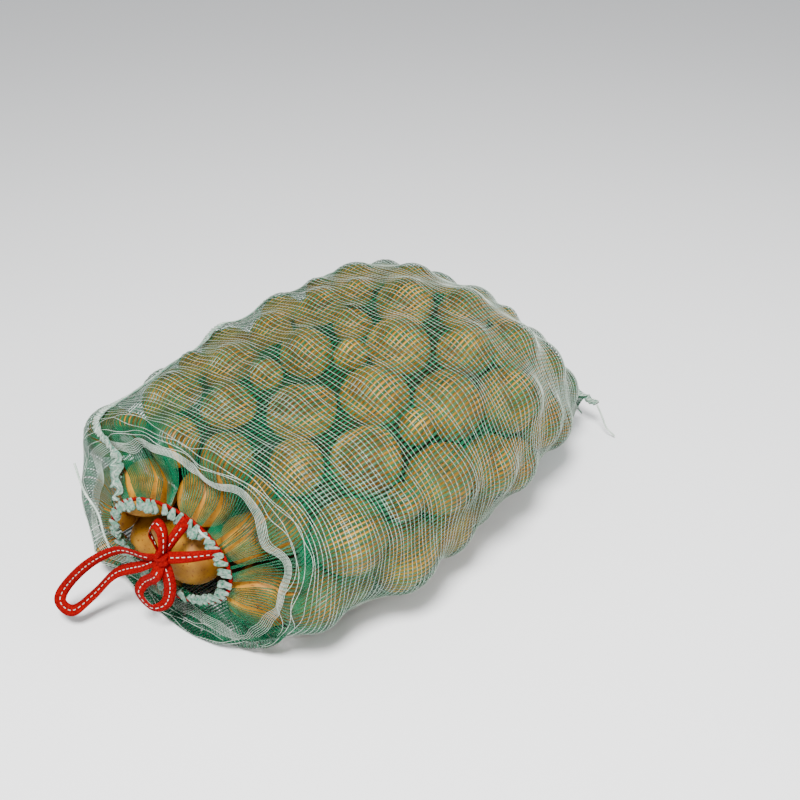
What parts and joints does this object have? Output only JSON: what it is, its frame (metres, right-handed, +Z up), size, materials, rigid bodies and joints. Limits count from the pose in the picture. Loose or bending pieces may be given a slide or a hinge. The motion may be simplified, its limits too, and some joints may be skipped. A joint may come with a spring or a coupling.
{
  "type": "mesh produce bag",
  "caption": "Leno net sack full of potatoes, lying on its side, its gathered mouth closed by a red drawstring tied in a bow.",
  "frame": {"origin": "on the floor, in the middle of the flat strip that the bag rests on", "axes": "+X from the tied mouth to the sewn end, +Z up"},
  "size_m": [0.6827, 0.4088, 0.2496],
  "materials": {
    "green_net": "slightly glossy polyethylene tape, open leno weave",
    "white_trim": "matt white polyethylene thread",
    "red_tape": "matt woven polypropylene tape",
    "potato_skin": null
  },
  "bodies": {
    "bag": {"net_body": "green_net", "selvedge_band": "white_trim", "mouth_gather": "green_net", "mouth_hem": "white_trim", "side_seam": "white_trim", "bottom_seam": "white_trim", "drawstring_in_hem": "red_tape", "hem_bridge_thread": "white_trim", "potato_01": "potato_skin", "potato_02": "potato_skin", "potato_03": "potato_skin", "potato_04": "potato_skin", "potato_05": "potato_skin", "potato_06": "potato_skin", "potato_07": "potato_skin", "potato_08": "potato_skin", "potato_09": "potato_skin", "potato_10": "potato_skin", "potato_11": "potato_skin", "potato_12": "potato_skin", "potato_13": "potato_skin", "potato_14": "potato_skin", "potato_15": "potato_skin", "potato_16": "potato_skin", "potato_17": "potato_skin", "potato_18": "potato_skin", "potato_19": "potato_skin", "potato_20": "potato_skin", "potato_21": "potato_skin", "potato_22": "potato_skin", "potato_23": "potato_skin", "potato_24": "potato_skin", "potato_25": "potato_skin", "potato_26": "potato_skin", "potato_27": "potato_skin", "potato_28": "potato_skin", "potato_29": "potato_skin", "potato_30": "potato_skin", "potato_31": "potato_skin", "potato_32": "potato_skin", "potato_33": "potato_skin", "potato_34": "potato_skin", "potato_35": "potato_skin", "potato_36": "potato_skin", "potato_37": "potato_skin", "potato_38": "potato_skin", "potato_39": "potato_skin", "potato_40": "potato_skin", "load_core": "potato_skin"},
    "bow": {"drawstring_leg_left": "red_tape", "drawstring_leg_right": "red_tape", "bow_knot": "red_tape", "bow_small_loop": "red_tape"},
    "long_loop": {"bow_long_loop": "red_tape"},
    "drooping_loop": {"bow_drooping_loop": "red_tape"},
    "seam_tail": {"side_seam_tail": "white_trim"},
    "corner_tail": {"corner_thread_tail": "white_trim"}
  },
  "joints": [
    {"name": "bow_swing", "type": "hinge", "parent": "bag", "child": "bow", "pos_m": [-0.2576, -0.0344, 0.1126], "axis": [-0.2181, 0.7992, 0.5601], "range_deg": [0, 60]},
    {"name": "long_loop_lift", "type": "hinge", "parent": "bow", "child": "long_loop", "pos_m": [-0.296, -0.01, 0.098], "axis": [0.7808, 0.6248, 0], "range_deg": [-8, 40]},
    {"name": "drooping_loop_swing", "type": "hinge", "parent": "bow", "child": "drooping_loop", "pos_m": [-0.294, -0.02, 0.09], "axis": [0, 1, 0], "range_deg": [0, 50]},
    {"name": "seam_tail_swing", "type": "hinge", "parent": "bag", "child": "seam_tail", "pos_m": [-0.3, 0.105, 0.15], "axis": [1, 0, 0], "range_deg": [0, 40]},
    {"name": "corner_tail_swing", "type": "hinge", "parent": "bag", "child": "corner_tail", "pos_m": [0.28, -0.115, 0.045], "axis": [-1, 0, 0], "range_deg": [0, 60]}
  ]
}
